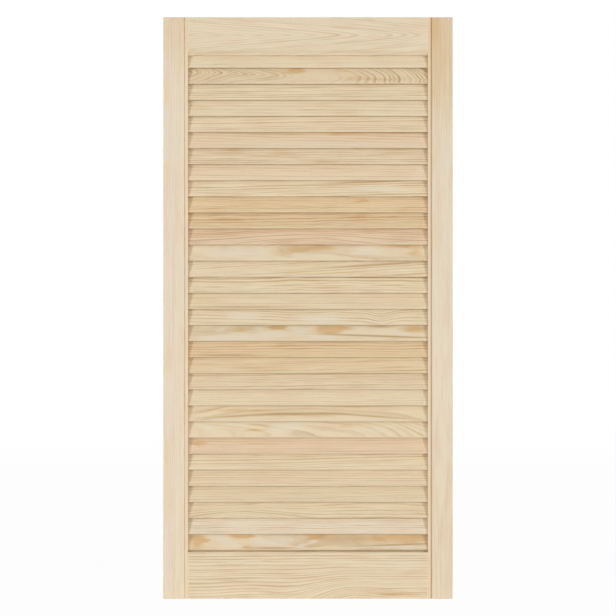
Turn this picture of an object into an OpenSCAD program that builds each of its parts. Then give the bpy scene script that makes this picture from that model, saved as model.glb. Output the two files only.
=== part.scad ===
// Louvred pine door for a cupboard or wardrobe.
// Two stiles and two rails make the frame, dowelled at the four corners.
// Fixed slats lie in slanted stopped slots in the stiles, bottom edges forward,
// and each slat's bottom edge overlaps the top of the slat below it.
// Z is up and the door's front faces -Y. The origin is the middle of the bottom edge.

/* [Door] */
// Width of the door
door_w = 494; // [300:1:700]
// Height of the door
door_h = 993; // [600:1:1300]
// Thickness of the frame
door_t = 21; // [18:0.5:30]

/* [Frame] */
// Width of each stile's face
stile_w = 42; // [36:0.5:70]
// Height of the top rail
top_rail_h = 65; // [56:0.5:120]
// Height of the bottom rail
bottom_rail_h = 79.5; // [56:0.5:160]
// How much higher the bottom rail is behind the lowest slat
rail_step = 8; // [4:0.5:14]
// Height of the bevel along the top rail's lower front edge
rail_bevel_h = 9.5; // [4:0.5:14]
// Depth of that bevel
rail_bevel_d = 3.5; // [3:0.5:7.5]
// Easing of the door's outer arrises
outer_arris = 0.8; // [0.2:0.1:2]
// Easing of the arrises that face the slats
inner_arris = 0.5; // [0.2:0.1:1.5]

/* [Scribed line along the stiles] */
// Distance of the line from the stile's inner edge
line_inset = 5; // [3:0.1:10]
// Width of the line
line_w = 0.9; // [0.5:0.1:2]
// Depth of the line
line_d = 1.2; // [0.4:0.1:2]

/* [Slats] */
// Width of a slat, from rounded edge to rounded edge
slat_w = 35; // [33:0.5:42]
// Thickness of a slat
slat_t = 6; // [4:0.5:7]
// Lean of a slat from upright, in degrees
slat_tilt = 17; // [15:0.5:22]
// Distance from slat to slat that the spacing is rounded from
slat_pitch_aim = 27.5; // [25:0.5:30]
// Depth of the slots in the stiles
slot_depth = 10; // [6:0.5:14]
// Clearance on each side of a slat in its slot
slat_clear = 0.1; // [0.05:0.05:0.3]
// Gap between a slat's end and the end of its slot
slat_end_gap = 0.3; // [0.1:0.1:1]
// How far the top slat reaches up into the top rail
top_tuck = 12.4; // [6:0.2:16]
// Gap between the lowest slat and the bottom rail
bottom_gap = 2.4; // [0.5:0.1:6]

/* [Dowels] */
// Diameter of a dowel
dowel_d = 8; // [6:0.5:10]
// Length of a dowel
dowel_l = 40; // [25:1:50]
// Chamfer at a dowel's ends
dowel_chamfer = 1; // [0.4:0.1:1.5]
// Number of glue flutes around a dowel
dowel_flutes = 12; // [8:1:20]
// Width of a glue flute
flute_w = 0.7; // [0.4:0.1:1]
// Clearance around a dowel in its hole
dowel_clear = 0.05; // [0.02:0.01:0.1]
// Gap between a dowel's end and the bottom of its hole
dowel_end_gap = 1; // [0.5:0.1:3]
// Distance from a rail's edge to the middle of its dowel
dowel_edge = 16; // [12:0.5:22]
// Wood between the top slat's groove and the dowel above it
dowel_wall = 8; // [5:0.5:12]

/* [Hidden] */
stile_color = [0.89, 0.83, 0.72];
rail_color = [0.87, 0.8, 0.68];
slat_color = [0.85, 0.77, 0.63];
dowel_color = [0.82, 0.68, 0.5];

// The frame
stile_x = door_w / 2 - stile_w;
rail_l = 2 * stile_x;
top_rail_z = door_h - top_rail_h;

// The slats, upright extent first
round_span = slat_w - slat_t;
slat_rise = round_span * cos(slat_tilt) + slat_t;
slat_l = rail_l + 2 * (slot_depth - slat_end_gap);
first_z = bottom_rail_h + bottom_gap + slat_rise / 2;
last_z = top_rail_z + top_tuck - slat_rise / 2;
slat_count = 1 + round((last_z - first_z) / slat_pitch_aim);
slat_pitch = (last_z - first_z) / (slat_count - 1);

// The dowels' heights
dowel_z_bottom = [dowel_edge, bottom_rail_h - dowel_edge];
dowel_z_top = [top_rail_z + top_tuck + dowel_wall + dowel_d / 2, door_h - dowel_edge];

// Curves that something fits are drawn this fine
$fn = 48;

function two_digits(i) = i < 10 ? str("0", i) : str(i);
function slat_name(i) = str("slat_", two_digits(i));
// Slats are counted from the top
function slat_z(i) = last_z - (i - 1) * slat_pitch;

// Stretches an outline drawn in Y and Z along X, half to each side
module along_x(length) {
    rotate([90, 0, 90]) linear_extrude(height = length, center = true) children();
}

// Bar's section, standing on the first axis, with its low and its high corners eased
module eased_bar(width, height, low_ease, high_ease) {
    half = width / 2;
    polygon([
        [-half, low_ease], [-half + low_ease, 0], [half - low_ease, 0], [half, low_ease],
        [half, height - high_ease], [half - high_ease, height],
        [-half + high_ease, height], [-half, height - high_ease]
    ]);
}

// A slat's outline in Y and Z: flat faces and fully rounded edges, leaning back at the top
module slat_outline(clear) {
    rotate(-slat_tilt) {
        square([slat_t + 2 * clear, round_span], center = true);
        for (end = [-1, 1])
            translate([0, end * round_span / 2]) circle(d = slat_t + 2 * clear);
    }
}

// Every slat's outline with its clearance, stretched to the bottoms of the slots
module slat_slots() {
    for (i = [1 : slat_count])
        translate([0, 0, slat_z(i)])
            along_x(rail_l + 2 * slot_depth) slat_outline(slat_clear);
}

// The hole for a dowel, centred on the joint
module dowel_hole(side, z) {
    translate([side * stile_x, 0, z]) rotate([0, 90, 0])
        cylinder(d = dowel_d + 2 * dowel_clear, h = dowel_l + 2 * dowel_end_gap, center = true);
}

// A stile's section in X and Y, from its outer edge at 0 to its inner edge
module stile_section() {
    half = door_t / 2;
    difference() {
        polygon([
            [outer_arris, -half], [stile_w - inner_arris, -half],
            [stile_w, -half + inner_arris], [stile_w, half - inner_arris],
            [stile_w - inner_arris, half], [outer_arris, half],
            [0, half - outer_arris], [0, -half + outer_arris]
        ]);
        for (face = [-1, 1])
            translate([stile_w - line_inset - line_w / 2, face * half])
                square([line_w, 2 * line_d], center = true);
    }
}

// Side is -1 for the left stile and 1 for the right one, which is its mirror image
module stile(side) {
    color(stile_color)
    difference() {
        intersection() {
            linear_extrude(height = door_h)
                scale([-side, 1]) translate([-door_w / 2, 0]) stile_section();
            along_x(door_w + 2) eased_bar(door_t, door_h, outer_arris, outer_arris);
        }
        slat_slots();
        for (z = concat(dowel_z_bottom, dowel_z_top)) dowel_hole(side, z);
    }
}

// Where the plane just behind the lowest slat is, in Y, at this height
function behind_slat(z) =
    (z - slat_z(slat_count)) * tan(slat_tilt) + (slat_t / 2 + slat_clear) / cos(slat_tilt);

// The wedge planed off the top rail's lower front edge, which lets light onto the top slat
module rail_bevel() {
    front = -door_t / 2;
    translate([0, 0, top_rail_z]) along_x(rail_l + 2) polygon([
        [front - 1, -1], [front + rail_bevel_d, -1], [front + rail_bevel_d, 0],
        [front, rail_bevel_h], [front - 1, rail_bevel_h]
    ]);
}

module top_rail() {
    color(rail_color)
    difference() {
        translate([0, 0, top_rail_z])
            along_x(rail_l) eased_bar(door_t, top_rail_h, inner_arris, outer_arris);
        rail_bevel();
        translate([0, 0, slat_z(1)]) along_x(rail_l + 2) slat_outline(slat_clear);
        for (side = [-1, 1], z = dowel_z_top) dowel_hole(side, z);
    }
}

// The rebate along the bottom rail's upper front edge. The step behind it closes the gap
// under the lowest slat.
module rail_rebate() {
    front = -door_t / 2;
    top = bottom_rail_h + rail_step + 1;
    along_x(rail_l + 2) polygon([
        [front - 1, bottom_rail_h - inner_arris - 1], [front + inner_arris, bottom_rail_h],
        [behind_slat(bottom_rail_h), bottom_rail_h], [behind_slat(top), top], [front - 1, top]
    ]);
}

module bottom_rail() {
    color(rail_color)
    difference() {
        along_x(rail_l)
            eased_bar(door_t, bottom_rail_h + rail_step, outer_arris, inner_arris);
        rail_rebate();
        for (side = [-1, 1], z = dowel_z_bottom) dowel_hole(side, z);
    }
}

module slat(i) {
    color(slat_color)
    translate([0, 0, slat_z(i)]) along_x(slat_l) slat_outline(0);
}

// A fluted dowel across the joint at this side and height
module dowel(side, z) {
    r = dowel_d / 2;
    half = dowel_l / 2;
    color(dowel_color)
    translate([side * stile_x, 0, z]) rotate([0, 90, 0])
    difference() {
        rotate_extrude() polygon([
            [0, -half], [r - dowel_chamfer, -half], [r, -half + dowel_chamfer],
            [r, half - dowel_chamfer], [r - dowel_chamfer, half], [0, half]
        ]);
        for (k = [0 : dowel_flutes - 1])
            rotate(k * 360 / dowel_flutes) translate([r, 0, 0])
                cylinder(d = flute_w, h = dowel_l + 2, center = true, $fn = 16);
    }
}

stile(-1);  // stile_left
stile(1);  // stile_right
top_rail();
bottom_rail();
for (i = [1 : slat_count])
    slat(i);
for (side = [-1, 1], k = [0, 1]) {
    tail = str(side < 0 ? "left" : "right", "_", k == 0 ? "lower" : "upper");
    dowel(side, dowel_z_top[k]);
    dowel(side, dowel_z_bottom[k]);
}
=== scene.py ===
import math
import random

import bpy
from mathutils import Euler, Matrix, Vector


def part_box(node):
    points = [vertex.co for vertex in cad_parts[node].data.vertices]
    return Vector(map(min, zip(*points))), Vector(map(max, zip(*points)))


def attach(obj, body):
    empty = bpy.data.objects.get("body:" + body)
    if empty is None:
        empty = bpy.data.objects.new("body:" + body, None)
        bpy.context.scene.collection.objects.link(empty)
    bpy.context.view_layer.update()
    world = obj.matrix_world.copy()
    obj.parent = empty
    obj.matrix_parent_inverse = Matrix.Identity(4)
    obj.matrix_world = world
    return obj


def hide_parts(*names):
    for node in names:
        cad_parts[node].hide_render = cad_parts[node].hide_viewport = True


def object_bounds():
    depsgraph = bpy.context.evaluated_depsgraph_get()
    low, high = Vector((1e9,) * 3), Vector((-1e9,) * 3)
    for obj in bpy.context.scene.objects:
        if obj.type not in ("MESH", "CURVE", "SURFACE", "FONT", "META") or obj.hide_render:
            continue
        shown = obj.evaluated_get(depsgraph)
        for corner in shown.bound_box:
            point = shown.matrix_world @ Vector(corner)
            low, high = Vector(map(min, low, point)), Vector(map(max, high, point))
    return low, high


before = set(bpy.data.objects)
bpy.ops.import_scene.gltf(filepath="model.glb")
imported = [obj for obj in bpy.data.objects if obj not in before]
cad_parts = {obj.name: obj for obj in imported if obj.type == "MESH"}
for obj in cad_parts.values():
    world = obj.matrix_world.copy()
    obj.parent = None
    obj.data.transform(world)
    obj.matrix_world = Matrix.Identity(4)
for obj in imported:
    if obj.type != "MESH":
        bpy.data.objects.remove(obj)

cad_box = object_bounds()
MM = 0.001


def srgb(red, green, blue):
    """A colour as a screen shows it, 0 to 255, in the linear values that the nodes take."""
    def linear(level):
        level /= 255
        return level / 12.92 if level <= 0.04045 else ((level + 0.055) / 1.055) ** 2.4
    return (linear(red), linear(green), linear(blue), 1.0)


WHITE = (1, 1, 1, 1)
# The pine of the stiles, of the rails and of three kinds of slat: the pale early wood of its
# year rings, and the late wood that they end in
STILE_PINE = (srgb(236, 222, 197), srgb(208, 183, 145))
RAIL_PINE = (srgb(234, 219, 189), srgb(199, 169, 127))
CREAM_PINE = (srgb(235, 218, 185), srgb(198, 169, 126))
HONEY_PINE = (srgb(231, 206, 164), srgb(193, 157, 112))
ROSE_PINE = (srgb(233, 208, 175), srgb(199, 164, 127))
# What else colours it: resin-rich flames and clouds, the wood nearest the bark, pink clouds,
# the resin in its ducts, which is also the colour of the painted shade in the stiles' line and
# in the rebate, and the ends of its fibres
AMBER = srgb(220, 184, 134)
SAPWOOD = srgb(234, 221, 196)
BLUSH = srgb(232, 203, 172)
RESIN_AND_SHADE = srgb(150, 106, 64)
END_GRAIN = srgb(212, 184, 144)
# Arrises after handling, paler also as a painted highlight on the slats' rounded lips, and the
# strip between a stile's scribed line and its inner edge
BURNISHED_AND_HIGHLIT = srgb(240, 226, 200)
MOULDED = srgb(248, 218, 174)
# The dowels' beech, its figure from light to dark, and its flecks
BEECH_LIGHT = srgb(222, 190, 154)
BEECH_DARK = srgb(198, 160, 122)
BEECH_FLECK = srgb(160, 116, 82)

# The features of pine: how long each one is along, through and across the grain, in
# millimetres, and what is added to the board's seed for it, so that no two share a pattern
RIPPLES = ((36, 6, 6), 3.1)
FIBRES = ((38, 0.5, 0.5), 5.3)
STREAKS = ((190, 5, 5), 7.7)
CLOUDS = ((120, 30, 16), 9.9)
DUCTS = ((9, 0.35, 0.35), 11.3)
RAGGED_EDGES = ((34, 12, 6), 13.7)
BLUSHES = ((70, 30, 12), 15.1)
# Growth lines follow the rings, so these are along the grain, from ring to ring and through
GROWTH_LINES = ((60, 1.4, 30), 17.3)
# How far through and across a board the trunk's wander stays the same
WANDER_BREADTH = 70
# The width of the rings changes over about this many years, and shifts them by up to so many
YEARS_ALIKE = 5
YEARS_SHIFT = 2.0
# The dowels' flecks and figure
BEECH_FLECKS = (2.5, 0.35, 0.35)
BEECH_FIGURE = (30, 1.5, 1.5)

# Where each feature starts to show and where it is full. The first two are parts of a year.
LATE_WOOD = (0.35, 0.88)
YEAR_END = (0.93, 1.0)
DUCT_EDGE = (0.74, 0.8)
BLUSH_EDGE = (0.45, 0.65)
CLOUD_EDGE = (0.48, 0.7)
WARM_EDGE = (0.05, 0.95)
SAPWOOD_EDGE = (0.15, 0.8)
FLAME_EDGE = (0.15, 0.85)
END_EDGE = (0.6, 0.9)
FLECK_EDGE = (0.6, 0.72)

# How dark the faintest ring is beside the darkest
FAINTEST_RING = 0.25
# How far growth lines darken or lighten the wood between the rings
GROWTH_DEPTH = 1.0
# How strongly ducts show, in early wood and in late wood
DUCTS_BY_SEASON = (0.3, 1.0)
# How strongly amber colours early wood and late wood, and how far streaks shift it
AMBER_BY_SEASON = (0.75, 1.25)
AMBER_SHIFT = 0.1
# How far flames and sapwood stray from their places, along, through and across
RAGGEDNESS = (44, 0, 9)
# How far growth lines break up the edges of sapwood, and how far the rings fade in it
SAPWOOD_BREAKS = 0.3
SAPWOOD_CALM = 0.7
# Shares of each colour where its feature is full
BLUSH_SHARE = 0.35
SAPWOOD_SHARE = 0.9
FLAME_SHARE = 0.95
DUCT_SHARE = 0.5
END_SHARE = 0.65
FLECK_SHARE = 0.5
# How far fibres and streaks lighten or darken the wood
FIBRE_TONE = 0.05
STREAK_TONE = 0.04
# Roughness of planed pine, and how much each of these makes it rougher or smoother
PINE_ROUGHNESS = 0.58
FIBRE_ROUGHNESS = 0.08
END_ROUGHNESS = 0.2
LATE_GLOSS = 0.08
RUBBED_GLOSS = 0.12
PINE_IOR = 1.45
BEECH_ROUGHNESS = (0.5, 0.6)
# Height of the grain's relief, and the shares of it that stand up or sink in
PINE_RELIEF = 0.05 * MM
LATE_RELIEF = 0.6
FIBRE_RELIEF = 0.5
DUCT_RELIEF = 0.8
BEECH_RELIEF = 0.03 * MM
RELIEF_STRENGTH = 0.6

# How far from an arris the rubbed wood and painted highlight begin and where they are full, and
# their share of the colour where streaks are faintest and strongest
ARRIS_REACH = (2.4, 0.6)
ARRIS_SHARE = (0.25, 0.85)
# The line along a stile: how far it is from the inner edge, and how wide
LINE_INSET = 5.0
LINE_WIDTH = 0.9
# Share of the moulded colour beside the line, and what the line's painted shade and streaks add
# to it
MOULDED_SHARE = 0.2
MOULDED_BY_LINE_SHADE = 0.4
MOULDED_BY_STREAK = 0.5
# How far from the middle of the line its painted shade starts to fade, and where it ends
LINE_SHADE_FADES = (0.2, 3.0)
# The edges of the moulded strip and of the rebate, and the share of painted shade in the
# rebate, which varies with its fibres
STRIP_EDGE = 0.5
REBATE_EDGE = 0.3
REBATE_SHADE = (0.3, 0.6)
# Painted shade in the corners beside the stiles: how far it reaches, how much wider it gets up
# the slat, and how dark it is
CORNER_REACH = 6
CORNER_LEAN = 0.15
CORNER_SHADE = 0.15
# Painted shade under the slat above, from the middle of the slat up: where it starts and is
# full, and how dark it is
UNDER_SLAT_SHADE_SPAN = (1, 9)
UNDER_SLAT_SHADE = 0.035
# A spot on a board's face reaches so deep that it is the same right through the board
SPOT_DEPTH = 1000.0

# The slats' section and lean, which their nodes' boxes don't tell
SLAT_THICKNESS = 6 * MM
SLAT_WIDTH = 35 * MM
SLAT_LEAN = math.radians(17)
# Rounding of their edges: its radius as a share of the thickness, and the steps of each corner
ROUNDING = 0.499
ROUNDING_STEPS = 7
# Points closer than this are one, and an edge that folds further than this stays sharp
ONE_POINT = 0.02 * MM
SHARP_FOLD = 1.0
# What the slats' dice are numbered from, and how far each slat's seed is from the one before
DICE_START = 400
SEED_STEP = 1.7

# The photographed view, square on from the front, and how wide it is at the door's face
LENS = 150.0
SENSOR = 36.0
VIEW_WIDTH = 1.0518
# Shares of full light on a face that looks straight forward, from one lamp and from the room
LAMP_SHARE = 0.255
ROOM_SHARE = 0.31
# How much brighter the room is overhead than at eye level
ROOM_TILT = 0.5
# Each lamp: how far round the door it stands, how far away, how far above the middle, its size
LAMP_ANGLE = math.radians(43)
LAMP_DISTANCE = 12.0
LAMP_RAISED = 1.2
LAMP_SIZE = (1.4, 1.0)
# How far from the door the floor starts to fade into the white room, and where it ends
FLOOR_FADES = 3.0
FLOOR_ENDS = 6.0
FLOOR_SHADOW = 0.04
FLOOR_COLOUR = (0.9, 0.9, 0.9, 1)


class Value:
    """One output in a node tree. Arithmetic on it adds Math nodes."""

    def __init__(self, graph, socket):
        self.graph = graph
        self.socket = socket

    def math(self, operation, *others):
        return self.graph.math(operation, self, *others)

    def __add__(self, other):
        return self.graph.math("ADD", self, other)

    __radd__ = __add__

    def __sub__(self, other):
        return self.graph.math("SUBTRACT", self, other)

    def __rsub__(self, other):
        return self.graph.math("SUBTRACT", other, self)

    def __mul__(self, other):
        return self.graph.math("MULTIPLY", self, other)

    __rmul__ = __mul__

    def __truediv__(self, other):
        return self.graph.math("DIVIDE", self, other)

    def __abs__(self):
        return self.graph.math("ABSOLUTE", self)

    def rise(self, low, high):
        """0 below low, 1 above high and a smooth step between them."""
        return self.graph.node(
            "ShaderNodeMapRange",
            {"interpolation_type": "SMOOTHSTEP"},
            {"Value": self, "From Min": low, "From Max": high},
        )

    def between(self, low, high):
        """What runs from 0 to 1 now runs from low to high."""
        return low + self * (high - low)

    def swing(self, reach):
        """What runs from 0 to 1 now runs this far to either side of 0."""
        return (self - 0.5) * (2 * reach)


class Graph:
    """Adds nodes to the tree of a material or of Geometry Nodes."""

    def __init__(self, tree):
        self.tree = tree

    def node(self, kind, settings=None, sockets=None, output=0):
        """Makes a node, its settings first, then its sockets by name or number."""
        made = self.tree.nodes.new(kind)
        for name, setting in (settings or {}).items():
            setattr(made, name, setting)
        for name, value in (sockets or {}).items():
            if isinstance(value, Value):
                self.tree.links.new(value.socket, made.inputs[name])
            else:
                made.inputs[name].default_value = value
        return Value(self, made.outputs[output]) if made.outputs else None

    def math(self, operation, *values):
        return self.node("ShaderNodeMath", {"operation": operation}, dict(enumerate(values)))

    def vector(self, operation, *vectors, output="Vector"):
        settings = {"operation": operation}
        return self.node("ShaderNodeVectorMath", settings, dict(enumerate(vectors)), output)

    def scaled(self, colour, amount):
        settings = {"operation": "SCALE"}
        return self.node("ShaderNodeVectorMath", settings, {"Vector": colour, "Scale": amount})

    def mix(self, share, first, second):
        """Blends two colours, from the first at 0 to the second at 1."""
        sockets = {0: share, 6: first, 7: second}
        return self.node("ShaderNodeMix", {"data_type": "RGBA"}, sockets, 2)

    def point(self, **parts):
        """A vector from its parts, which are named X, Y and Z."""
        return self.node("ShaderNodeCombineXYZ", sockets=parts)

    def parts(self, vector):
        split = self.node("ShaderNodeSeparateXYZ", sockets={"Vector": vector})
        return [Value(self, socket) for socket in split.socket.node.outputs]

    def noise(self, place, lengths, seed, detail=2.0, output="Fac"):
        """Noise whose features are about these lengths along, through and across the grain."""
        return self.node(
            "ShaderNodeTexNoise",
            {"noise_dimensions": "4D"},
            {
                "Vector": self.vector("MULTIPLY", place, tuple(1 / length for length in lengths)),
                "W": seed,
                "Scale": 1.0,
                "Detail": detail,
            },
            output,
        )

    def spots(self, place, places):
        """The sum of a board's spots of one kind. Each is as strong as it says at its own place
        on the face, and fades to nothing about twice its reaches away."""
        total = 0
        for along, across, reach_along, reach_across, strength, *lean in places:
            away = self.node(
                "ShaderNodeMapping",
                {"vector_type": "TEXTURE"},
                {
                    "Vector": place,
                    "Location": (along, 0, across),
                    "Rotation": (0, -math.radians(sum(lean)), 0),
                    "Scale": (reach_along, SPOT_DEPTH, reach_across),
                },
            )
            squared = self.vector("DOT_PRODUCT", away, away, output="Value")
            total = total + (0 - squared).math("EXPONENT") * strength
        return total

    def looked_at(self):
        """1 for the camera and for what gloss and glass show of the room, or else 0."""
        rays = self.node("ShaderNodeLightPath").socket.node.outputs
        seen = Value(self, rays["Is Camera Ray"])
        seen = seen.math("MAXIMUM", Value(self, rays["Is Glossy Ray"]))
        return seen.math("MAXIMUM", Value(self, rays["Is Transmission Ray"]))

    def wood(self, colour, roughness, height, relief, **more):
        """Ends a wood's material with a surface that has this relief."""
        normal = self.node(
            "ShaderNodeBump",
            sockets={"Height": height, "Distance": relief, "Strength": RELIEF_STRENGTH},
        )
        shader = self.node(
            "ShaderNodeBsdfPrincipled",
            sockets={"Base Color": colour, "Roughness": roughness, "Normal": normal, **more},
        )
        self.node("ShaderNodeOutputMaterial", sockets={"Surface": shader})


def new_material(name):
    material = bpy.data.materials.new(name)
    material.use_nodes = True
    material.node_tree.nodes.clear()
    return material, Graph(material.node_tree)


class Board:
    """How one board was sawn from its log. Lengths are in millimetres, in the board's own
    axes: along the grain, through the thickness from front to back, and across the face.
    Where its figure has spots, each is given by its place along and across, its reach along
    and across, its strength, and sometimes its lean in degrees."""

    def __init__(self, node, turn, size, pine, seed, **differences):
        low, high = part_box(node)
        self.middle = (low + high) / 2
        self.turn = turn
        self.half = [length / 2 for length in size]
        self.early, self.late = pine
        self.seed = seed
        # The log's heart, across the face and behind it, and how fast that drifts along the board
        self.heart = (90.0, 60.0)
        self.drift = (0.0, 0.0)
        # How fast the rings narrow along the board, which draws them out into arrowheads
        self.taper = 0.0
        # How wide the rings are
        self.ring = 3.4
        # How far the rings wander, and over what length along the grain
        self.sway = 3.0
        self.sway_length = 240.0
        # How far each ring ripples
        self.ripple = 0.8
        # Depth of the dark lines, share of amber clouds, and brightness
        self.contrast = 0.8
        self.amber = 0.25
        self.tone = 1.0
        # Bulges of the rings round knots that lie outside the board, in millimetres
        self.bulges = []
        # Places where the rings fade
        self.calms = []
        # Resin-rich flames, sapwood, and single dark growth lines
        self.flames = []
        self.sapwood = []
        self.streaks = []
        # Where across the face the moulded strip begins, which was cut into redder wood, and how
        # dark the painted shade in the line beside it is
        self.moulding = None
        self.line_shade = 0.0
        # Where across the face the rebate begins, which is darkened with painted shade
        self.rebate = None
        # How far from the middle the stiles begin. The corners beside them, and a little under the
        # slat above, are darkened with painted shade.
        self.corners = None
        # How much of the arrises is rubbed pale, which on the slats' lips is also a painted
        # highlight
        self.rubbed_and_highlit = 1.0
        for name, value in differences.items():
            setattr(self, name, value)


class Pine:
    """Planed bare pine for one board, in the order in which it came about: year rings round
    the log's heart, fibres and tints, its figure, the marks of the making, and painted shade and
    highlights."""

    def __init__(self, name, board):
        self.board = board
        self.material, self.graph = new_material(name)
        self.place = self.graph.node(
            "ShaderNodeMapping",
            {"vector_type": "TEXTURE"},
            {
                "Vector": self.graph.node("ShaderNodeTexCoord", output="Object"),
                "Location": board.middle,
                "Rotation": board.turn,
                "Scale": (MM, MM, MM),
            },
        )
        self.along, self.through, self.across = self.graph.parts(self.place)
        self.grow_rings()
        self.tint()
        self.add_figure()
        self.show_cuts()
        self.rub_and_highlight_arrises()
        self.finish()

    def noise(self, feature, place=None, **settings):
        """This board's own draw of one feature."""
        lengths, shift = feature
        seed = self.board.seed + shift
        return self.graph.noise(place or self.place, lengths, seed, **settings)

    def grow_rings(self):
        """Pale early wood that darkens into a thin line of late wood, year after year."""
        graph, board = self.graph, self.board
        # Distance from the heart, with the slow wander of a grown trunk
        lengths = (board.sway_length, WANDER_BREADTH, WANDER_BREADTH)
        wander = graph.parts(graph.noise(self.place, lengths, board.seed, output="Color"))
        across, through = [
            way - heart - self.along * drift + strayed.swing(board.sway)
            for way, heart, drift, strayed in zip(
                (self.across, self.through), board.heart, board.drift, wander
            )
        ]
        radius = (across * across + through * through).math("SQRT")
        radius = radius + self.noise(RIPPLES).swing(board.ripple) + self.along * board.taper
        radius = radius + graph.spots(self.place, board.bulges)

        years = graph.node(
            "ShaderNodeTexNoise",
            {"noise_dimensions": "1D"},
            {"W": radius / (board.ring * YEARS_ALIKE) + board.seed, "Scale": 1.0, "Detail": 1.0},
        )
        year = radius / board.ring + years * YEARS_SHIFT
        self.season = year.math("FRACT")
        vigour = graph.node(
            "ShaderNodeTexWhiteNoise",
            {"noise_dimensions": "1D"},
            {"W": year.math("FLOOR") + board.seed},
        )
        late = self.season.rise(*LATE_WOOD) * (1 - self.season.rise(*YEAR_END))
        late = late * vigour.between(FAINTEST_RING, 1)
        # Finer lines between them, broken along the grain
        grown = graph.point(X=self.along, Y=radius, Z=self.through)
        self.lines = self.noise(GROWTH_LINES, grown)
        late = late + self.lines.swing(GROWTH_DEPTH)
        if board.calms:
            late = late * (1 - graph.spots(self.place, board.calms))
        self.late = late

    def tint(self):
        """Fibres, streaks, resin ducts, and clouds of pink and amber."""
        self.fibre = self.noise(FIBRES, detail=3.0)
        self.streak = self.noise(STREAKS)
        duct = self.noise(DUCTS, detail=0.0)
        self.ducts = duct.rise(*DUCT_EDGE) * self.late.between(*DUCTS_BY_SEASON)
        pink = self.noise(BLUSHES).rise(*BLUSH_EDGE)
        self.colour = self.graph.mix(pink * BLUSH_SHARE, self.board.early, BLUSH)
        cloud = self.noise(CLOUDS).rise(*CLOUD_EDGE)
        warm = cloud * self.board.amber + self.streak.swing(AMBER_SHIFT)
        warm = warm.rise(*WARM_EDGE) * self.season.between(*AMBER_BY_SEASON)
        self.colour = self.graph.mix(warm, self.colour, AMBER)

    def add_figure(self):
        """Flames and sapwood, whose ragged edges follow the grain and break up into growth
        lines. The rings show through them."""
        graph, board = self.graph, self.board
        colour = self.colour
        strayed = self.noise(RAGGED_EDGES, output="Color")
        strayed = graph.vector("SUBTRACT", strayed, (0.5, 0.5, 0.5))
        ragged = graph.vector("ADD", self.place, graph.vector("MULTIPLY", strayed, RAGGEDNESS))
        if board.sapwood:
            pale = graph.spots(ragged, board.sapwood) + self.lines.swing(SAPWOOD_BREAKS)
            pale = pale.rise(*SAPWOOD_EDGE)
            colour = graph.mix(pale * SAPWOOD_SHARE, colour, SAPWOOD)
            self.late = self.late * (1 - pale * SAPWOOD_CALM)
        if board.flames:
            flame = graph.spots(ragged, board.flames) + self.lines.swing(board.contrast / 2)
            colour = graph.mix(flame.rise(*FLAME_EDGE) * FLAME_SHARE, colour, AMBER)
        shade = self.late.math("MAXIMUM", 0) * board.contrast
        if board.streaks:
            shade = shade.math("MAXIMUM", graph.spots(self.place, board.streaks))
        darker = tuple(dark / pale for dark, pale in zip(board.late, board.early))
        colour = graph.vector("MULTIPLY", colour, graph.mix(shade, WHITE, darker))
        self.colour = graph.mix(self.ducts * DUCT_SHARE, colour, RESIN_AND_SHADE)

    def show_cuts(self):
        """The moulded strip, the painted shade in its line, and the painted shade in the rebate."""
        graph, board = self.graph, self.board
        if board.moulding:
            inwards = self.across * math.copysign(1, board.moulding) - abs(board.moulding)
            share = MOULDED_SHARE + MOULDED_BY_LINE_SHADE * board.line_shade
            share = inwards.rise(0, STRIP_EDGE) * (share + MOULDED_BY_STREAK * self.streak)
            self.colour = graph.mix(share, self.colour, MOULDED)
            # Painted shade in the groove of the line, brown
            line_shade = (1 - abs(inwards + LINE_WIDTH / 2).rise(*LINE_SHADE_FADES)) * board.line_shade
            self.colour = graph.mix(line_shade, self.colour, RESIN_AND_SHADE)
        if board.rebate:
            # Painted shade in the rebate
            painted_rebate_shade = self.across.rise(board.rebate, board.rebate + REBATE_EDGE)
            painted_rebate_shade = painted_rebate_shade * self.fibre.between(*REBATE_SHADE)
            self.colour = graph.mix(painted_rebate_shade, self.colour, RESIN_AND_SHADE)

    def rub_and_highlight_arrises(self):
        """Arrises that sanding and handling rubbed pale. On the slats' rounded lips the paleness is
        also a painted highlight.
        """
        along, through, across = [
            abs(way).rise(*[half - reach for reach in ARRIS_REACH])
            for way, half in zip((self.along, self.through, self.across), self.board.half)
        ]
        arris = (through * across).math("MAXIMUM", along * through)
        arris = arris.math("MAXIMUM", along * across)
        self.rubbed_and_highlit = arris * self.streak.between(*ARRIS_SHARE) * self.board.rubbed_and_highlit
        self.colour = self.graph.mix(self.rubbed_and_highlit, self.colour, BURNISHED_AND_HIGHLIT)

    def finish(self):
        """Sawn ends that drink in the light, painted shade in the corners and under the slat above,
        and the sheen and relief.
        """
        graph, board = self.graph, self.board
        grain_way = Vector((1, 0, 0))
        grain_way.rotate(board.turn)
        facing = graph.node("ShaderNodeTexCoord", output="Normal")
        end = abs(graph.vector("DOT_PRODUCT", facing, grain_way, output="Value"))
        end = end.rise(*END_EDGE)
        colour = graph.mix(end * END_SHARE, self.colour, END_GRAIN)
        tone = 1 + self.fibre.swing(FIBRE_TONE) + self.streak.swing(STREAK_TONE)
        tone = tone * board.tone
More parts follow.
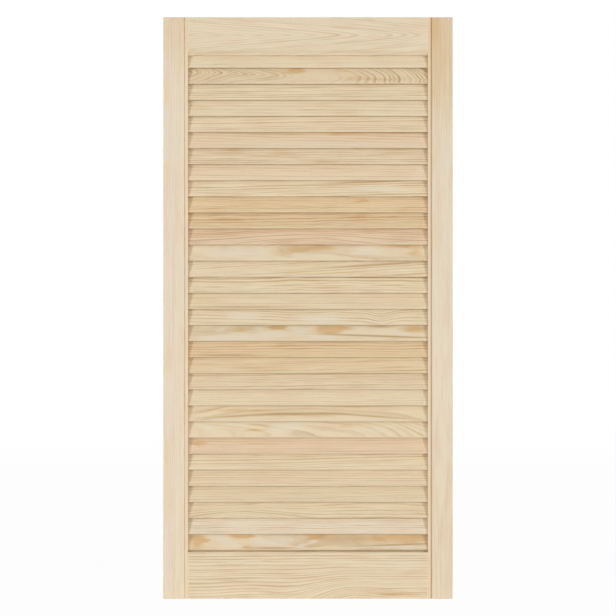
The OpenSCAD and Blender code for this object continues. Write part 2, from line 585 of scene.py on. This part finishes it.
        # Painted shade: darker in the corners beside the stiles and under the slat above
        if board.corners:
            outwards = abs(self.along) + self.across * CORNER_LEAN
            painted_corner_shade = outwards.rise(board.corners - CORNER_REACH, board.corners)
            painted_shade_under_slat = self.across.rise(*UNDER_SLAT_SHADE_SPAN)
            tone = tone * (1 - painted_corner_shade * CORNER_SHADE) * (1 - painted_shade_under_slat * UNDER_SLAT_SHADE)
        roughness = PINE_ROUGHNESS + self.fibre.swing(FIBRE_ROUGHNESS) + end * END_ROUGHNESS
        roughness = roughness - self.late * LATE_GLOSS - self.rubbed_and_highlit * RUBBED_GLOSS
        height = self.late * LATE_RELIEF + self.fibre.swing(FIBRE_RELIEF)
        height = height - self.ducts * DUCT_RELIEF
        graph.wood(graph.scaled(colour, tone), roughness, height, PINE_RELIEF, IOR=PINE_IOR)


def beech(name):
    """Turned beech for the dowels: pinkish brown with short dark flecks."""
    material, graph = new_material(name)
    place = graph.scaled(graph.node("ShaderNodeTexCoord", output="Object"), 1 / MM)
    fleck = graph.noise(place, BEECH_FLECKS, seed=4.0).rise(*FLECK_EDGE) * FLECK_SHARE
    figure = graph.noise(place, BEECH_FIGURE, seed=8.0, detail=3.0)
    colour = graph.mix(fleck, graph.mix(figure, BEECH_LIGHT, BEECH_DARK), BEECH_FLECK)
    graph.wood(colour, figure.between(*BEECH_ROUGHNESS), figure - fleck, BEECH_RELIEF)
    return material


def blend(first, second, share):
    """A pine between these two."""
    return [
        tuple(a + (b - a) * share for a, b in zip(one, other))
        for one, other in zip(first, second)
    ]


# Slats whose figure stands out, counted from the top
FIGURED_SLATS = {
    1: dict(pine=CREAM_PINE, contrast=0.5, amber=0.1),
    # Nested arrowheads on the left and curly grain on the right
    2: dict(
        heart=(-4, 7), drift=(-0.04, 0.08), taper=0.1, ring=3, sway=1, ripple=1.5,
        contrast=1.1, amber=0.6, tone=0.955,
        bulges=[(-212, 0, 52, 90, -24), (225, 0, 80, 90, 18)],
        calms=[(20, 0, 65, 30, 1.0)],
        flames=[(-21, 5, 15, 6, 1.3), (55, 6, 12, 5, 0.5)],
    ),
    3: dict(contrast=0.95, amber=0.2, tone=1.015),
    4: dict(pine=CREAM_PINE, contrast=0.4, flames=[(-60, -13, 40, 3, 0.5)]),
    5: dict(pine=blend(CREAM_PINE, ROSE_PINE, 0.1), amber=0.1, tone=1.01),
    # Red above and pale below
    6: dict(
        pine=blend(CREAM_PINE, ROSE_PINE, 0.7),
        flames=[(-20, 9, 280, 4, 0.5), (60, 8, 30, 4, 0.5)],
        sapwood=[(20, -11, 330, 6, 0.45)],
    ),
    7: dict(contrast=1.05, tone=0.98, flames=[(-128, 5, 20, 6, 0.5), (-50, 8, 26, 4, 0.5)]),
    8: dict(
        pine=blend(CREAM_PINE, ROSE_PINE, 0.45), contrast=0.6, amber=0.05, tone=1.005,
        sapwood=[(190, 0, 16, 20, 0.45)],
    ),
    9: dict(
        pine=CREAM_PINE, contrast=1.0, tone=1.01,
        flames=[(-150, -12, 60, 4, 0.4)],
        sapwood=[(128, -4, 52, 6, 0.8)],
        streaks=[(105, 8, 80, 1.3, 1.4, 2)],
    ),
    10: dict(pine=HONEY_PINE, ripple=1.8, contrast=0.75, tone=1.005, flames=[(91, 5, 17, 6, 0.7)]),
    11: dict(
        pine=HONEY_PINE, ripple=1.8, contrast=1.15, amber=0.5, tone=0.98,
        flames=[(-140, -3, 50, 6, 0.6), (92, 6, 20, 6, 0.6)],
    ),
    # The rings arch over a hidden knot
    12: dict(
        pine=ROSE_PINE, heart=(-80, 50), drift=(0, 0), ring=3.8, sway=2,
        contrast=1.3, tone=0.995,
        bulges=[(-5, -22, 110, 26, -17)],
        flames=[(-5, -16, 60, 4, 0.6)],
    ),
    # Sapwood with a flame of amber
    13: dict(
        heart=(10, 70), ring=6, sway=6, sway_length=120, contrast=0.5, amber=0.4, tone=0.975,
        flames=[
            (-34, -3, 34, 12, 0.55), (-8, 4, 30, 8, 0.35), (30, 6, 28, 7, 0.65),
            (155, 8, 36, 5, 0.8), (186, -2, 16, 10, 0.6), (100, -15, 90, 2, 0.5),
        ],
        sapwood=[(-118, -1, 58, 10, 1.0), (-14, -8, 15, 5, 1.0), (98, 0, 34, 9, 1.0)],
    ),
    # A growth line that climbs to the right
    14: dict(
        pine=CREAM_PINE, heart=(-90, 40), drift=(0.06, 0), ring=4, sway=2, contrast=0.75,
        streaks=[(115, 3.4, 95, 1.6, 1.5, 3.7)],
    ),
    15: dict(pine=CREAM_PINE, ring=3.6, sway=4, sway_length=150, contrast=1.25, tone=1.005),
    16: dict(contrast=0.4, amber=0.3, tone=0.975, streaks=[(-120, -14.5, 90, 1.5, 1.1)]),
    17: dict(
        pine=CREAM_PINE, ring=4.5, sway=5, sway_length=130, contrast=0.8,
        bulges=[(124, -2, 22, 40, 5.5)],
        sapwood=[(-112, -1, 32, 8, 1.0), (26, -7, 46, 8, 0.9)],
    ),
    # The strongest flame
    18: dict(
        heart=(14, 80), ring=7, sway=5, sway_length=110, contrast=0.7, amber=0.25, tone=0.95,
        flames=[
            (-115, 1, 20, 6, 0.5), (-50, 7, 16, 5, 1.2), (36, 4, 30, 9, 1.3),
            (184, 4, 22, 7, 0.9),
        ],
        sapwood=[
            (-135, -12, 46, 5, 1.2), (-148, 4, 16, 5, 0.6, 20), (-80, 4, 17, 5, 0.6),
            (-62, -6, 22, 5, 1.1), (-16, 2, 17, 9, 0.9), (22, -10, 26, 5, 1.2, -8),
            (80, 3, 22, 7, 0.5), (155, -4, 26, 4, 1.0, -10),
        ],
        streaks=[(122, -9, 95, 1.5, 1.5, -2), (125, 8, 22, 2, 1.0)],
    ),
    19: dict(
        pine=HONEY_PINE, contrast=0.8, tone=0.995,
        flames=[(-35, 5, 38, 5, 0.5)],
        streaks=[(-140, -14.5, 70, 1.5, 1.1)],
    ),
    20: dict(pine=blend(CREAM_PINE, HONEY_PINE, 0.6), contrast=0.8, tone=0.98),
    21: dict(contrast=0.9, tone=0.985),
    22: dict(pine=CREAM_PINE, contrast=0.5, amber=0.1),
    # Wide rings that sweep over a hidden knot
    23: dict(
        heart=(-60, 60), drift=(0, 0), ring=11, sway=1.5, contrast=0.55, amber=0.3, tone=0.98,
        bulges=[(-5, 0, 170, 200, -10), (-215, 0, 50, 200, 8), (218, 0, 40, 200, 9)],
        flames=[(-110, 2, 55, 3.5, 0.7), (-20, -7, 80, 3, 0.7), (100, 9, 90, 2.5, 0.6)],
        streaks=[
            (-110, -7.5, 70, 1.9, 0.9, 3), (0, -4, 70, 2.1, 1.1), (112, -8.5, 80, 1.7, 0.9, -4),
            (-165, 3, 34, 1.5, 0.8, 13), (20, 11, 150, 2.2, 0.9),
        ],
    ),
    # Pale patches beside amber ones, and curly grain on the right
    24: dict(
        heart=(-16, 30), drift=(-0.03, 0.05), ring=3.6, sway=3,
        contrast=0.55, amber=0.1, tone=0.995,
        bulges=[(215, 0, 75, 90, 12)],
        flames=[(-92, -4, 30, 4, 0.75), (66, 3, 22, 6, 0.5)],
        sapwood=[
            (-176, 2, 24, 5, 0.9, -20), (-110, 7, 36, 4, 0.8, 6), (-36, 1, 36, 9, 1.1, 8),
            (120, -6, 26, 5, 0.6),
        ],
    ),
    25: dict(pine=ROSE_PINE, contrast=0.5, tone=0.985, flames=[(-185, 2, 14, 9, 0.8)]),
    26: dict(pine=CREAM_PINE, contrast=0.7, flames=[(-92, 9, 26, 3, 0.5)]),
    27: dict(contrast=0.6, tone=0.985),
    28: dict(contrast=0.6, tone=0.955),
    # Waves on the left and a low arch on the right
    29: dict(
        heart=(80, 45), drift=(0, 0), ring=3.6, sway=2, contrast=0.9, tone=0.97,
        bulges=[(-110, -20, 70, 24, 14), (110, 24, 110, 22, 11)],
        flames=[(-92, 9, 28, 3, 0.7)],
    ),
    30: dict(
        pine=STILE_PINE, heart=(-80, 45), ring=3.4, sway=5, sway_length=130,
        contrast=0.8, amber=0.1, tone=0.985,
        sapwood=[(-116, -1, 30, 8, 0.9)],
    ),
    # Short flames on the left and a long one on the right
    31: dict(
        heart=(12, 80), ring=7, sway=5, sway_length=110, contrast=0.5, amber=0.1, tone=0.955,
        flames=[
            (-186, 0, 15, 14, 1.1), (-114, 7, 16, 6, 1.3), (-105, -13, 16, 3, 0.8),
            (8, 7, 18, 6, 1.2), (40, 2, 24, 8, 0.3), (150, 3, 95, 8, 0.8), (195, 9, 50, 4, 0.5),
        ],
        sapwood=[
            (-150, 4, 18, 9, 1.0), (-128, -9, 14, 6, 1.0), (-55, 0, 42, 10, 1.2),
            (-2, -7, 26, 2.6, 1.0, 22), (150, -12, 90, 4, 0.9),
        ],
        streaks=[(-60, -14, 36, 1.4, 1.3), (160, -8, 85, 1.5, 1.3, 2)],
    ),
}


def size_of(node):
    """A node's width, depth and height in millimetres."""
    low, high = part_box(node)
    return (high - low) / MM


def slat_boards(slat_nodes):
    """One board for each slat, most of them straight grained."""
    stiles_begin = size_of("top_rail").x / 2
    turn = Euler((-SLAT_LEAN, 0, 0))
    size = (size_of(slat_nodes[0]).x, SLAT_THICKNESS / MM, SLAT_WIDTH / MM)
    boards = []
    for number, node in enumerate(slat_nodes, 1):
        dice = random.Random(DICE_START + number)
        side = dice.choice((-1, 1))
        other_pine = dice.choice((HONEY_PINE, ROSE_PINE))
        settings = dict(
            pine=blend(CREAM_PINE, other_pine, dice.uniform(0, 0.4)),
            corners=stiles_begin,
            heart=(side * dice.uniform(70, 140), dice.uniform(20, 60)),
            drift=(dice.uniform(-0.02, 0.02), dice.uniform(-0.02, 0.02)),
            ring=dice.uniform(2.9, 4.2),
            sway=dice.uniform(1.5, 4),
            contrast=dice.uniform(0.6, 0.95),
            amber=dice.uniform(0.1, 0.5),
            tone=dice.uniform(0.98, 1.005),
        )
        settings.update(FIGURED_SLATS.get(number, {}))
        boards.append(Board(node, turn, size, seed=number * SEED_STEP, **settings))
    return boards


def slat_bank(slat_nodes):
    """A tree that lays out all the slats, rounds their edges and keeps the one asked for."""
    low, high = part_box(slat_nodes[0])
    _, next_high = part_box(slat_nodes[1])
    tree = bpy.data.node_groups.new("slat bank", "GeometryNodeTree")
    sockets = {}
    for name, kind, value in (
        ("Slats", "Int", len(slat_nodes)),
        ("Kept slat", "Int", 0),
        ("Length", "Float", high.x - low.x),
        ("Width", "Float", SLAT_WIDTH),
        ("Thickness", "Float", SLAT_THICKNESS),
        ("Lean", "Float", SLAT_LEAN),
        ("Pitch", "Float", high.z - next_high.z),
        ("First height", "Float", (low.z + high.z) / 2),
        ("Wood", "Material", None),
    ):
        socket = tree.interface.new_socket(name, in_out="INPUT", socket_type="NodeSocket" + kind)
        if value is not None:
            socket.default_value = value
        sockets[name] = socket.identifier
    tree.interface.new_socket("Slat", in_out="OUTPUT", socket_type="NodeSocketGeometry")

    graph = Graph(tree)
    entry = graph.node("NodeGroupInput")
    given = {name: Value(graph, entry.socket.node.outputs[name]) for name in sockets}

    section = graph.node(
        "GeometryNodeCurvePrimitiveQuadrilateral",
        sockets={"Width": given["Thickness"], "Height": given["Width"]},
    )
    radius = given["Thickness"] * ROUNDING
    section = graph.node(
        "GeometryNodeFilletCurve",
        {"mode": "POLY"},
        {"Curve": section, "Count": ROUNDING_STEPS, "Radius": radius},
    )
    half = given["Length"] / 2
    line = graph.node(
        "GeometryNodeCurvePrimitiveLine",
        sockets={"Start": graph.point(X=0 - half), "End": graph.point(X=half)},
    )
    slat = graph.node(
        "GeometryNodeCurveToMesh",
        sockets={"Curve": line, "Profile Curve": section, "Fill Caps": True},
    )
    slat = graph.node(
        "GeometryNodeMergeByDistance", sockets={"Geometry": slat, "Distance": ONE_POINT}
    )

    first = graph.point(Z=given["First height"])
    down = graph.point(Z=0 - given["Pitch"])
    places = graph.node(
        "GeometryNodeMeshLine",
        sockets={"Count": given["Slats"], "Start Location": first, "Offset": down},
    )
    lean = graph.point(X=0 - given["Lean"])
    bank = graph.node(
        "GeometryNodeInstanceOnPoints",
        sockets={"Points": places, "Instance": slat, "Rotation": lean},
    )
    # Sockets 2 and 3 take the whole numbers
    other = graph.node(
        "FunctionNodeCompare",
        {"data_type": "INT", "operation": "NOT_EQUAL"},
        {2: graph.node("GeometryNodeInputIndex"), 3: given["Kept slat"]},
    )
    kept = graph.node(
        "GeometryNodeDeleteGeometry", {"domain": "INSTANCE"}, {"Geometry": bank, "Selection": other}
    )
    kept = graph.node("GeometryNodeRealizeInstances", sockets={"Geometry": kept})
    kept = graph.node("GeometryNodeSetShadeSmooth", sockets={"Geometry": kept})
    sharp = graph.node("GeometryNodeInputMeshEdgeAngle").math("GREATER_THAN", SHARP_FOLD)
    kept = graph.node(
        "GeometryNodeSetShadeSmooth",
        {"domain": "EDGE"},
        {"Geometry": kept, "Selection": sharp, "Shade Smooth": False},
    )
    kept = graph.node(
        "GeometryNodeSetMaterial", sockets={"Geometry": kept, "Material": given["Wood"]}
    )
    graph.node("NodeGroupOutput", sockets={"Slat": kept})
    return tree, sockets


def make_slats():
    """The slats, each taken from the bank as a piece of its own."""
    slat_nodes = sorted(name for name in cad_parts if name.startswith("slat_"))
    tree, sockets = slat_bank(slat_nodes)
    blank = bpy.data.meshes.new("slat")
    for index, board in enumerate(slat_boards(slat_nodes)):
        node = slat_nodes[index]
        number = node[-2:]
        bench = bpy.data.objects.new("bench", blank)
        bank = bench.modifiers.new("bank", "NODES")
        bank.node_group = tree
        bank[sockets["Kept slat"]] = index
        bank[sockets["Wood"]] = Pine("pine slat " + number, board).material
        bench.modifiers.new("true faces", "WEIGHTED_NORMAL").keep_sharp = True
        bpy.context.scene.collection.objects.link(bench)
        made = bench.evaluated_get(bpy.context.evaluated_depsgraph_get())
        piece = bpy.data.objects.new("louvre_" + number, bpy.data.meshes.new_from_object(made))
        bpy.data.objects.remove(bench)
        bpy.context.scene.collection.objects.link(piece)
        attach(piece, "root")
        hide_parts(node)


def dress(node, material):
    """Finishes a piece of the frame, or a dowel, in this wood."""
    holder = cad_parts[node]
    if not holder.material_slots:
        holder.data.materials.append(material)
    for place in holder.material_slots:
        place.material = material


def finish_frame():
    """The frame's woods, on the nodes as they are."""
    # Grain up the door, with across running to the left, or grain to the right and across up
    upright = Euler((0, -math.pi / 2, 0))
    level = Euler((0, 0, 0))
    stile_width, thickness, stile_length = size_of("stile_left")
    stile = (stile_length, thickness, stile_width)
    line = stile_width / 2 - LINE_INSET
    boards = {
        "stile_left": Board(
            "stile_left", upright, stile, STILE_PINE, seed=31.0,
            heart=(-150, 60), drift=(0.006, 0), ring=3.2, contrast=0.35, amber=0.15,
            moulding=-line, rubbed_and_highlit=0.3,
            flames=[(490, 0, 140, 60, 0.42)],
        ),
        "stile_right": Board(
            "stile_right", upright, stile, STILE_PINE, seed=47.0,
            heart=(160, 50), drift=(-0.008, 0), ring=3.2, contrast=0.35, amber=0.3, tone=0.985,
            moulding=line, line_shade=0.3, rubbed_and_highlit=0.3,
            flames=[(500, 10, 50, 9, 0.25), (440, 4, 180, 60, 0.55), (-420, 0, 200, 60, 0.35)],
        ),
        "top_rail": Board(
            "top_rail", level, size_of("top_rail"), RAIL_PINE, seed=52.0,
            heart=(2, -8), drift=(0, 0.02), taper=0.08, ring=3.4, sway=1,
            contrast=0.6, amber=0.15,
            flames=[(0, -27, 400, 3, 0.45)],
        ),
        "bottom_rail": Board(
            "bottom_rail", level, size_of("bottom_rail"), RAIL_PINE, seed=63.0,
            heart=(-110, 40), ring=4.8, sway=3, contrast=0.85, rebate=35.9,
            bulges=[(70, -50, 60, 38, -34), (200, -50, 110, 38, -44), (-100, -30, 60, 40, -4)],
            flames=[(150, -36, 50, 4, 0.6)],
        ),
    }
    for node, board in boards.items():
        dress(node, Pine("pine " + node.replace("_", " "), board).material)
    dowel_wood = beech("beech dowel")
    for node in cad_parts:
        if node.startswith("dowel_"):
            dress(node, dowel_wood)


def lamp(name, place, target, share):
    """A soft area lamp that gives a face towards it this share of full light."""
    light = bpy.data.lights.new(name, "AREA")
    light.shape = "RECTANGLE"
    light.size, light.size_y = LAMP_SIZE
    way = target - place
    # At a distance d, a lamp of power P lights a white face to P / (pi * d) ** 2
    light.energy = share * math.pi ** 2 * way.length_squared
    holder = bpy.data.objects.new(name, light)
    holder.location = place
    holder.rotation_euler = way.to_track_quat("-Z", "Y").to_euler()
    holder.visible_camera = False
    bpy.context.scene.collection.objects.link(holder)


def light_studio():
    """Two lamps in front, two behind for the views from there, and a white room."""
    low, high = cad_box
    middle = (low + high) / 2
    for name, side, front in (
        ("front left lamp", -1, -1),
        ("front right lamp", 1, -1),
        ("back left lamp", -1, 1),
        ("back right lamp", 1, 1),
    ):
        way = Vector((side * math.sin(LAMP_ANGLE), front * math.cos(LAMP_ANGLE), 0))
        place = middle + way * LAMP_DISTANCE + Vector((0, 0, LAMP_RAISED))
        lamp(name, place, middle, LAMP_SHARE / math.cos(LAMP_ANGLE))

    world = bpy.data.worlds.new("white room")
    bpy.context.scene.world = world
    world.use_nodes = True
    world.node_tree.nodes.clear()
    graph = Graph(world.node_tree)
    seen = graph.looked_at()
    height = graph.parts(graph.node("ShaderNodeTexCoord", output="Generated"))[2]
    lit = ROOM_SHARE * (1 + ROOM_TILT * height)
    strength = lit * (1 - seen) + seen
    room = graph.node("ShaderNodeBackground", sockets={"Color": WHITE, "Strength": strength})
    graph.node("ShaderNodeOutputWorld", sockets={"Surface": room})


def lay_floor():
    """A white floor that shows the door's shadow faintly and fades into the white room."""
    mesh = bpy.data.meshes.new("floor")
    corners = [
        (side * FLOOR_ENDS, front * FLOOR_ENDS, 0)
        for side, front in ((-1, -1), (1, -1), (1, 1), (-1, 1))
    ]
    mesh.from_pydata(corners, [], [(0, 1, 2, 3)])
    floor = bpy.data.objects.new("floor", mesh)
    bpy.context.scene.collection.objects.link(floor)
    material, graph = new_material("white floor")
    place = graph.node("ShaderNodeTexCoord", output="Object")
    near = 1 - graph.vector("LENGTH", place, output="Value").rise(FLOOR_FADES, FLOOR_ENDS)
    seen = graph.looked_at()
    matt = graph.node("ShaderNodeBsdfDiffuse", sockets={"Color": FLOOR_COLOUR})
    white = graph.node("ShaderNodeEmission", sockets={"Color": WHITE, "Strength": seen})
    share = 1 - near * (1 - seen * (1 - FLOOR_SHADOW))
    surface = graph.node("ShaderNodeMixShader", sockets={0: share, 1: matt, 2: white})
    graph.node("ShaderNodeOutputMaterial", sockets={"Surface": surface})
    mesh.materials.append(material)


def set_camera():
    """Level with the middle of the door, straight in front of it."""
    low, high = cad_box
    camera = bpy.data.cameras.new("camera")
    camera.lens = LENS
    camera.sensor_width = SENSOR
    holder = bpy.data.objects.new("camera", camera)
    distance = LENS / SENSOR * VIEW_WIDTH
    holder.location = ((low.x + high.x) / 2, low.y - distance, (low.z + high.z) / 2)
    holder.rotation_euler = (math.pi / 2, 0, 0)
    bpy.context.scene.collection.objects.link(holder)
    bpy.context.scene.camera = holder


set_camera()
finish_frame()
make_slats()
light_studio()
lay_floor()
bpy.context.scene.view_settings.view_transform = "Standard"
